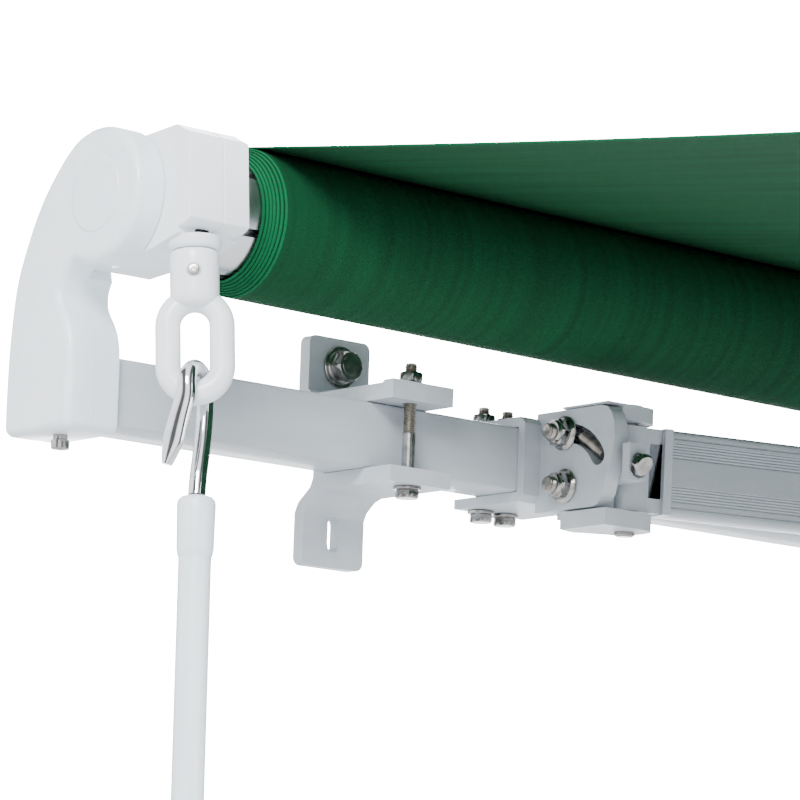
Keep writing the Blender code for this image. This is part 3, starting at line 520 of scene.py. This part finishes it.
def build_housings():
    for node in ("gearbox_outer_half", "gearbox_inner_half", "idler_housing"):
        refine(node, "eye_plastic", "frame", 3.2, 5)
    # Shaft between the gearbox and the eye, and the ring of the hub that the roller turns on.
    at = gear_frame() @ Matrix.Translation(EYE_AT)
    shaft = moved(turned([(-38.5, 7.6), (-34.0, 7.6), (-33.0, 7.2)]), at)
    # The shaft is near black: painted shade in the thin gap between the boss and the eye's neck.
    piece("eye_shaft", [shaft], "painted_gap_shade", "crank", 1, 40)
    boss = moved(turned([(-36.9, 13.0), (-36.4, 14.4), (-35.2, 15.2), (-30.0, 15.6)], 56), at)
    piece("gearbox_boss", [boss], "eye_plastic", "frame", 1, 40)
    for side, name in SIDES:
        hub = moved(turned([(0.0, 30.0), (0.6, 30.6), (0.9, 30.6), (1.1, 24.0)], 48),
                    aimed((-87.0, ROLLER[0], ROLLER[1]), (1, 0, 0)))
        piece(name + "_hub_ring", [hub], "painted_metal", "frame", side, 40)


# ---------------------------------------------------------------- crank

def build_eye():
    """The oval eye under the gearbox; returns the frame the rod hangs in and the eye's stock radius."""
    eye = gear_frame() @ Matrix.Translation(EYE_AT) @ Matrix.Rotation(EYE_TURN, 4, "Z")
    high, low, half, stock = -80.5, -103.5, 15.2, 7.2
    path = [(x, 0, z) for x, z in arc(0, high, half, 0, 180, 20)[:-1]]
    path += [(-half, 0, high + (low - high) * k / 6) for k in range(6)]
    path += [(x, 0, z) for x, z in arc(0, low, half, 180, 360, 20)[:-1]]
    path += [(half, 0, low + (high - low) * k / 6) for k in range(6)]
    loop = moved(swept(path, stock, 28, closed=True), eye)
    neck = moved(turned([(-70.0, 7.0), (-69.2, 10.6), (-67.6, 12.6), (-65.5, 13.6), (-62.0, 13.9),
                         (-44.0, 14.0), (-40.0, 14.0), (-38.4, 13.5), (-37.6, 12.2)], 56), eye)
    piece("eye_loop", [loop, neck], "eye_plastic", "crank", 1, 60, ("crank_eye",))
    across = aimed(eye @ Vector((0, 0, -51.0)), eye.to_3x3() @ Vector((0, 1, 0)))
    pin = moved(turned([(0.0, 3.1), (14.8, 3.15), (15.3, 2.7), (15.4, 1.4), (14.9, 1.2)], 28), across)
    piece("eye_cross_pin", [pin], "stainless", "crank", 1, 40)
    pin_ring = moved(turned([(13.6, 4.2), (14.15, 4.0), (14.2, 3.0)], 28), across)
    piece("eye_pin_seat", [pin_ring], "painted_metal", "crank", 1, 40)
    down = Vector((0, -math.sin(HANDLE_TILT), -math.cos(HANDLE_TILT)))
    return aimed(eye @ Vector((0, 0, low - half)), down, HOOK_SIDE), stock


def build_hook(hang, stock):
    """The chromed hook: a flattened blade, a bend over the eye, and a stem down to the sleeve."""
    bend = stock + 7.0
    over = [(bend * math.cos(math.radians(a)), 0, -bend * math.sin(math.radians(a)) + 0.3)
            for a in range(20, 181, 20)]
    path = smooth_path([(bend + 2.5, 9.0, 43.0), (bend + 1.8, 6.0, 30.0), (bend + 0.8, 3.0, 16.0),
                        (bend, 0, 4.0)] + over
                       + [(-bend * 0.92, -0.3, 12.0), (-bend * 0.72, -0.9, 24.0), (-bend * 0.42, -1.7, 36.0),
                          (-bend * 0.14, -2.3, 47.0), (0.0, -2.5, 58.0)])
    flat = []
    for i in range(len(path)):
        t = i / (len(path) - 1)
        blade = max(0.0, 1.0 - t / 0.32)
        tip = max(0.0, 1.0 - t / 0.06)
        flat.append((1.0 - 0.35 * blade, (1.0 + 0.38 * blade) * (1.0 - 0.6 * tip)))
    hook = moved(swept(path, 5.0, 28, flatten=flat), hang)
    piece("hook_tube", [hook], "chrome", "crank", 1, 50, ("crank_hook",))


def build_rod(hang):
    # The rod leans a little, from the hook's offset end down to the throw.
    offset = hang @ Vector((0, -2.6, 0))
    lean = aimed(offset, hang @ Vector((0, 0, ROD_END)) - offset, HOOK_SIDE)
    top = 58.3
    sleeve = turned([(top, 6.0), (top + 0.8, 8.6), (top + 2.6, 10.4), (top + 5.0, 10.9), (top + 30, 10.4),
                     (top + 33, 9.9), (top + 34.5, 9.3)], 48)
    rod = turned([(top + 30, 9.2), (1178.6, 9.2), (ROD_END, 8.4)], 48)
    piece("rod_sleeve", [moved(sleeve, lean)], "rod_paint", "crank", 1, 40)
    piece("rod_tube", [moved(rod, lean)], "rod_paint", "crank", 1, 40, ("crank_rod",))


def build_handle(hang):
    """The cranked throw at the foot of the rod, and the ribbed grip that turns on it."""
    start = 1180.3
    throw = smooth_path([(0, 0, start), (0, 0, start + 14), (6, 0, start + 26), (18, 0, start + 34),
                         (75, 0, start + 47), (132, 0, start + 60), (145, 0, start + 67),
                         (THROW, 0, start + 80), (THROW, 0, start + 92)])
    throw = [Vector((-p.x, p.y, p.z)) for p in throw]
    piece("throw_tube", [moved(swept(throw, 7.0), hang)], "rod_paint", "crank", 1, 50, ("crank_throw",))
    top = start + 92.3
    ribs = 16
    levels = [(top, 8.4), (top + 1.5, 9.6), (top + 6, 12.2)]
    for k in range(ribs):
        z = top + 12 + k * 6.6
        swell = 1.5 * math.sin(math.pi * (k + 0.5) / ribs)
        levels += [(z, 12.4 + swell), (z + 0.8, 11.9 + swell), (z + 1.8, 11.9 + swell),
                   (z + 2.6, 12.4 + swell)]
    levels += [(top + 122, 12.5), (top + 128, 11.0), (top + 130, 8.6)]
    grip = moved(turned(levels), hang @ Matrix.Translation((-THROW, 0, 0)))
    piece("grip_sleeve", [grip], "white_plastic", "grip", 1, 50, ("crank_grip",))


def build_crank():
    hang, stock = build_eye()
    build_hook(hang, stock)
    build_rod(hang)
    build_handle(hang)


# ---------------------------------------------------------------- roller and canvas

def build_roller():
    """The roller tube with its six keder slots."""
    segments = 180
    wall = 1.8
    outer = []
    inner = []
    for k in range(segments):
        degrees = 360.0 * k / segments
        in_slot = any(abs((degrees - centre + 180) % 360 - 180) < 3.4 for centre in range(22, 360, 60))
        radius = 30.5 if in_slot else 34.9
        angle = math.radians(degrees)
        outer.append((radius * math.cos(angle), radius * math.sin(angle)))
        inner.append(((radius - wall) * math.cos(angle), (radius - wall) * math.sin(angle)))
    rings = []
    left, right = -85.5, 2 * MIDDLE + 85.5
    for x, ring in ((left, outer), (right, outer), (right, inner), (left, inner)):
        rings.append([(x, ROLLER[0] + y, ROLLER[1] + z) for y, z in ring])
    piece("roller_look", [loft(rings, closed_ends=False)], "galvanised", "roller", 1, 30, ("roller_tube",))


def canvas_columns():
    """X of the canvas columns: close together at the hems, wide apart between them."""
    left, right = CANVAS_X
    return ([left, left + 1.5, left + HEM - 1.2, left + HEM, left + HEM + 1.2]
            + [50.0 + 200.0 * k for k in range(14)]
            + [right - HEM - 1.2, right - HEM, right - HEM + 1.2, right - 1.5, right])


def canvas_strip(name, rows, body, sag, edge_shift=None):
    """A strip of canvas; rows are (y, z, length along it), columns run along X and hang in the middle."""
    xs = canvas_columns()
    width = len(xs)
    mesh = bpy.data.meshes.new(name)
    points = []
    for i, (y, z, _) in enumerate(rows):
        shift = edge_shift(i) if edge_shift else 0.0
        for j, x in enumerate(xs):
            outward = shift if j < HEM_COLUMNS else -shift if j >= width - HEM_COLUMNS else 0.0
            drop = ROLL_SAG * sag(i) * math.sin(math.pi * (x - xs[0]) / (xs[-1] - xs[0]))
            points.append(place((x + outward, y, z - drop), 1))
    faces = []
    for i in range(len(rows) - 1):
        for j in range(width - 1):
            a = i * width + j
            faces.append((a, a + 1, a + width + 1, a + width))
    mesh.from_pydata(points, [], faces)
    layer = mesh.uv_layers.new(name="weave")
    for poly in mesh.polygons:
        for loop_index, vertex in zip(poly.loop_indices, poly.vertices):
            i, j = divmod(vertex, width)
            layer.data[loop_index].uv = (xs[j] * METRES, rows[i][2] * METRES)
    mesh.materials.append(MAT["canvas"])
    mesh.materials.append(MAT["hem"])
    for poly in mesh.polygons:
        j = min(v % width for v in poly.vertices)
        if j < 1 or j > width - 3:
            poly.material_index = 1
    mesh.shade_smooth()
    obj = add_object(name, mesh)
    solid = obj.modifiers.new("thickness", "SOLIDIFY")
    solid.thickness = CANVAS_THICKNESS * METRES
    solid.offset = 0.0
    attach(obj, body)
    return obj


def build_wound_canvas():
    """The canvas on the roller, as one spiral; returns where it leaves the roll and its length so far."""
    rows = []
    total = 0.0
    steps = SPIRAL_TURNS * STEPS_PER_TURN
    leave = 90.0 + math.degrees(CANVAS_PITCH)
    previous = None
    for i in range(steps + 1):
        t = i / steps
        angle = math.radians(leave - 360.0 * SPIRAL_TURNS * (1 - t))
        radius = ROLL_INNER + (ROLL_OUTER - ROLL_INNER) * t
        y = ROLLER[0] + radius * math.cos(angle)
        z = ROLLER[1] + radius * math.sin(angle)
        if previous:
            total += math.hypot(y - previous[0], z - previous[1])
        previous = (y, z)
        rows.append((y, z, total))

    def stagger(i):
        """Each turn lies a little further in or out along the roller than the next."""
        turn = i / STEPS_PER_TURN
        return -1.9 * (SPIRAL_TURNS - turn) + 0.35 * math.sin(turn * 5.3 + 1.0)

    roll = canvas_strip("wound_canvas", rows, "roller", lambda i: 1.0, stagger)
    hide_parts("canvas_roll")
    return previous, total


def build_stretched_canvas(leaves_at, total):
    """The stretch from the roll to the front bar. Weights carry each row with the front bar by its share."""
    start = Vector(leaves_at)
    end = arm_frame() @ Vector((0, -2 * ARM_LENGTH * math.sin(ARM_ANGLE) + 9.0, 99.6))
    end = Vector((end.y, end.z))
    spans = SHEET_SPANS
    length = (end - start).length
    rows = []
    for i in range(spans + 1):
        t = i / spans
        at = start.lerp(end, t)
        sag = -SHEET_SAG * math.sin(math.pi * t)
        rows.append((at.x, at.y + sag, total + length * t))
    sheet = canvas_strip("stretched_canvas", rows, "frame", lambda i: 1.0 - i / spans)
    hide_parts("canvas_sheet")
    group = sheet.vertex_groups.new(name="follow")
    width = len(canvas_columns())
    for i in range(spans + 1):
        t = i / spans
        # A little less than its share lets the sheet bow out round the roll when the arms fold.
        share = t - FOLLOW_BOW * math.sin(math.pi * t) * (1.0 - t)
        group.add(list(range(i * width, (i + 1) * width)), share, "REPLACE")
    hook = sheet.modifiers.new("follow", "HOOK")
    empty = frame["bodies"]["front"]
    hook.object = empty
    hook.vertex_group = "follow"
    hook.strength = 1.0
    hook.matrix_inverse = empty.matrix_world.inverted()


def build_canvas():
    leaves_at, total = build_wound_canvas()
    build_stretched_canvas(leaves_at, total)


# ---------------------------------------------------------------- brackets and bolts

def build_brackets():
    corners = []
    for cx, cz, start in ((121.0, 63.0, 0), (83.0, 63.0, 90), (83.0, -69.0, 180), (121.0, -69.0, 270)):
        corners += arc(cx, cz, 5.0, start, start + 90, 8)
    rounded_block = loft([[(x, y, z) for x, z in corners] for y in (-60.0, 60.0)])
    for side, name in SIDES:
        refine(name + "_wall_bracket", "painted_metal", "frame", 1.1, 3, (rounded_block, side))
        refine(name + "_shoulder_base", "painted_metal", "frame", 2.0, 4)
        refine(name + "_arm_carrier", "painted_metal", "frame", 1.6, 3)
        refine(name + "_shoulder_knuckle", "painted_metal", "upper_arm_" + name, 0.8, 2)
        refine(name + "_elbow_fork", "painted_metal", "upper_arm_" + name, 0.8, 2)
        refine(name + "_elbow_tongue", "painted_metal", "forearm_" + name, 0.8, 2)
        refine(name + "_front_knuckle", "painted_metal", "forearm_" + name, 0.8, 2)
        refine(name + "_front_bracket", "painted_metal", "front", 0.8, 2)
        refine(name + "_front_cap", "white_plastic", "front", 0.8, 2)
    refine("front_bar", "painted_bar", "front", 0.8, 2)
    refine("torque_bar", "painted_bar", "frame", 0.7, 2)


def fastener(name, shapes, at, side, stands_for):
    piece(name, [moved(s, at) for s in shapes], "stainless", "frame", side, 30, (stands_for,))


def thread_on(name, shapes, at, side):
    piece(name, [moved(s, at) for s in shapes], "thread", "frame", side, 50)


def build_bracket_bolts(side, name):
    """The bolt that clamps the bar in its bracket, and the bolt into the wall."""
    up = aimed((102.0, -30.0, 0), (0, 0, 1))
    fastener(name + "_clamp_bolt_look",
             [hexagon(-37.3, -32.0, 13.0), washer(-32.0, -30.3, 8.6),
              turned([(-30.3, 3.95), (2.0, 3.95), (2.6, 3.6)], 32),
              washer(31.9, 33.2, 8.0), hexagon(33.2, 39.4, 13.0)], up, side, name + "_bar_clamp_bolt")
    thread_on(name + "_clamp_thread", [threaded(2.4, 31.8, 3.95), threaded(38.4, 45.0, 3.95)], up, side)
    out = aimed((102.0, 38.0, 50.0), (0, -1, 0))
    fastener(name + "_wall_bolt_look",
             [washer(0.3, 2.4, 13.0), turned([(2.4, 10.6), (3.2, 9.6), (3.4, 8.6)]), hexagon(2.6, 11.5, 17.4),
              turned([(11.3, 6.6), (11.75, 6.4), (11.8, 5.6)], 32)], out, side, name + "_wall_bolt")


def build_base_bolts(side, name):
    """The two bolts that clamp the shoulder base on the bar."""
    for x, which in ((213.0, "outer"), (233.0, "inner")):
        at = aimed((x, 28.0, 0), (0, 0, 1))
        fastener(name + "_base_bolt_look_" + which,
                 [hexagon(-34.2, -28.8, 13.0), washer(-28.8, -26.9, 8.6),
                  turned([(-26.9, 3.9), (26.8, 3.9)], 24), washer(26.8, 28.1, 8.0),
                  hexagon(28.1, 34.0, 13.0)], at, side, name + "_base_bolt_" + which)
        thread_on(name + "_base_thread_" + which, [threaded(33.0, 38.8, 3.9)], at, side)


def build_pitch_bolts(side, name):
    """The pitch pivot bolt, the lock bolt in its arc slot, and the adjusting screw with its stub."""
    pivot_y, pivot_z = -49.0, -18.0
    slot_radius, lock_angle = 33.0, math.radians(88)
    centres = ((pivot_y, pivot_z, "pivot"),
               (pivot_y + slot_radius * math.cos(lock_angle), pivot_z + slot_radius * math.sin(lock_angle),
                "lock"))
    for y, z, which in centres:
        at = aimed((213.0, y, z), (-1, 0, 0))
        fastener(name + "_pitch_" + which + "_look",
                 [turned([(0.3, 10.3), (0.7, 10.75), (1.5, 10.75), (2.6, 9.3), (3.4, 8.6)], 48),
                  hexagon(2.4, 9.2, 15.4), turned([(9.0, 7.4), (10.2, 7.2), (11.4, 6.4), (11.7, 5.3)]),
                  turned([(-17.0, 4.9), (0.5, 4.9)], 24)], at, side, name + "_pitch_" + which + "_bolt")
        thread_on(name + "_pitch_" + which + "_thread", [threaded(10.8, 16.0, 4.9, 1.5)], at, side)
    at = aimed((225.0, -101.3, -6.5), (-2.0, 22.0, 14.0))
    fastener(name + "_adjuster_look", [hexagon(-5.5, 0.0, 13.0)], at, side, name + "_pitch_adjuster")
    thread_on(name + "_adjuster_thread", [threaded(-0.5, 8.5, 3.9)], at, side)
    stub = aimed((219.0, -78.0, 0.0), (0.0, 20.0, 12.5))
    thread_on(name + "_swivel_thread", [threaded(0.0, 25.0, 3.9, 1.0)], stub, side)


def build_bolts():
    for side, name in SIDES:
        build_bracket_bolts(side, name)
        build_base_bolts(side, name)
        build_pitch_bolts(side, name)


# ---------------------------------------------------------------- arms

def arm_frame():
    return Matrix.Translation(ARM_ORIGIN) @ Matrix.Rotation(ARM_PITCH, 4, "X")


def arm_section():
    """Arm profile outline in its own YZ: rounded corners and two finely ribbed bands on each broad face."""
    half_h, half_t, corner = 26.5, 12.0, 3.0

    def face(sign):
        points = []
        z = -half_h + corner
        while z < half_h - corner:
            depth = 0.0
            if 8.5 < abs(z) < 18.5:
                depth = 0.55 if int((z + 100.0) / 0.9) % 2 else 0.1
            if abs(abs(z) - 21.5) < 0.5:
                depth = 0.9
            points.append((sign * (half_t - depth), z))
            z += 0.45
        return points if sign > 0 else list(reversed(points))

    outline = face(1)
    outline += arc(half_t - corner, half_h - corner, corner, 0, 90, 5)
    outline += arc(-half_t + corner, half_h - corner, corner, 90, 180, 5)
    outline += face(-1)
    outline += arc(-half_t + corner, -half_h + corner, corner, 180, 270, 5)
    outline += arc(half_t - corner, -half_h + corner, corner, 270, 360, 5)
    return outline


def build_arms():
    lean = math.asin(ELBOW_OFFSET / ARM_LENGTH)
    reach = ARM_LENGTH * math.cos(lean)
    front = Vector((0, -2 * ARM_LENGTH * math.sin(ARM_ANGLE), 0))
    upper = arm_frame() @ Matrix.Rotation(-ARM_ANGLE + lean, 4, "Z")
    fore = arm_frame() @ Matrix.Translation(front) @ Matrix.Rotation(ARM_ANGLE - lean, 4, "Z")
    outline = arm_section()
    shape = loft([[(x, y, z) for y, z in outline] for x in (25.0, reach - 42.0)])
    for side, name in SIDES:
        for part, at in (("upper_arm", upper), ("forearm", fore)):
            piece(name + "_" + part + "_look", [moved(shape, at)], "arm_paint", part + "_" + name, side, 25,
                  (name + "_" + part,))


# ---------------------------------------------------------------- stage, light, camera

def build_floor():
    mesh = bpy.data.meshes.new("floor")
    z = FLOOR_Z
    mesh.from_pydata([(-9, -9, z), (11, -9, z), (11, 9, z), (-9, 9, z)], [], [(0, 1, 2, 3)])
    mesh.materials.append(noisy("floor_paint", (0.80, 0.80, 0.80), (0.82, 0.82, 0.82), 0.8, scale=3))
    floor = add_object("floor", mesh)


def range_node(tree, from_min, from_max, to_min, to_max):
    """A smooth step from one value to another."""
    node = node_of(tree, "ShaderNodeMapRange", interpolation_type="SMOOTHSTEP")
    limits = {"From Min": from_min, "From Max": from_max, "To Min": to_min, "To Max": to_max}
    for key, value in limits.items():
        node.inputs[key].default_value = value
    return node


def along(tree, coord, direction):
    """How far the looking direction runs along a fixed direction, from -1 to 1."""
    node = node_of(tree, "ShaderNodeVectorMath", operation="DOT_PRODUCT")
    node.inputs[1].default_value = direction
    tree.links.new(coord.outputs["Generated"], node.inputs[0])
    return node


def build_world():
    world = bpy.data.worlds.new("studio")
    bpy.context.scene.world = world
    world.use_nodes = True
    tree = world.node_tree
    back = tree.nodes["Background"]
    coord = node_of(tree, "ShaderNodeTexCoord")
    split = node_of(tree, "ShaderNodeSeparateXYZ")
    scale = node_of(tree, "ShaderNodeMapRange")
    scale.inputs["From Min"].default_value = -1.0
    ramp = tone_ramp(tree, 0.30, (0.26, 0.28, 0.31), 0.505, (0.95, 0.98, 1.0))
    tree.links.new(coord.outputs["Generated"], split.inputs["Vector"])
    tree.links.new(split.outputs["Z"], scale.inputs["Value"])
    tree.links.new(scale.outputs["Result"], ramp.inputs["Fac"])
    tree.links.new(ramp.outputs["Color"], back.inputs["Color"])
    # A bright white screen stands far behind the part, as in a product studio.
    screen = along(tree, coord, VIEW_AWAY)
    glow = range_node(tree, 0.95, 0.988, SKY_STRENGTH, SCREEN_STRENGTH)
    tree.links.new(screen.outputs["Value"], glow.inputs["Value"])
    # Dark flags at the sides give polished metal its streaks.
    across = along(tree, coord, VIEW_RIGHT)
    spread = node_of(tree, "ShaderNodeMath", operation="MULTIPLY_ADD")
    spread.inputs[1].default_value = 6.0
    spread.inputs[2].default_value = 1.6
    wave = node_of(tree, "ShaderNodeMath", operation="SINE")
    tree.links.new(across.outputs["Value"], spread.inputs[0])
    tree.links.new(spread.outputs["Value"], wave.inputs[0])
    flags = range_node(tree, -0.75, 0.1, 0.08, 1.0)
    tree.links.new(wave.outputs["Value"], flags.inputs["Value"])
    total = node_of(tree, "ShaderNodeMath", operation="MULTIPLY")
    tree.links.new(glow.outputs["Result"], total.inputs[0])
    tree.links.new(flags.outputs["Result"], total.inputs[1])
    tree.links.new(total.outputs["Value"], back.inputs["Strength"])


def build_light(name, at, target, width, power):
    data = bpy.data.lights.new(name, "AREA")
    data.size = width
    data.energy = power
    lamp = add_object(name, data)
    lamp.location = at
    lamp.rotation_euler = (Vector(target) - Vector(at)).to_track_quat("-Z", "Y").to_euler()


def build_camera():
    matrix = Matrix((Vector(VIEW_RIGHT), Vector(VIEW_UP), -Vector(VIEW_AWAY))).transposed().to_4x4()
    matrix.translation = place((-1578.3, -1994.9, -410.0), 1)
    data = bpy.data.cameras.new("camera")
    data.lens = 195.93
    data.sensor_width = 36.0
    data.clip_end = 60.0
    camera = add_object("camera", data)
    camera.matrix_world = matrix
    bpy.context.scene.camera = camera


def paint_frame():
    """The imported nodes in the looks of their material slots."""
    looks = {n["node"]: n["material_slot"] for n in frame["record"]["subparts"]}
    for node, obj in frame["nodes"].items():
        slot = looks[node]
        obj.data.materials.clear()
        obj.data.materials.append(MAT[SLOT_LOOK.get(slot, slot)])


paint_frame()
for cover_side, cover_name in SIDES:
    build_cover(cover_side, cover_name)
build_housings()
build_crank()
build_roller()
build_canvas()
build_brackets()
build_bolts()
build_arms()
build_floor()
build_world()
build_light("key", (-2.6, -2.2, 1.9), (0.1, -0.1, 0.0), 1.3, 210.0)
build_light("fill", (0.9, -3.4, 0.4), (0.3, -0.1, 0.0), 2.0, 40.0)
build_camera()
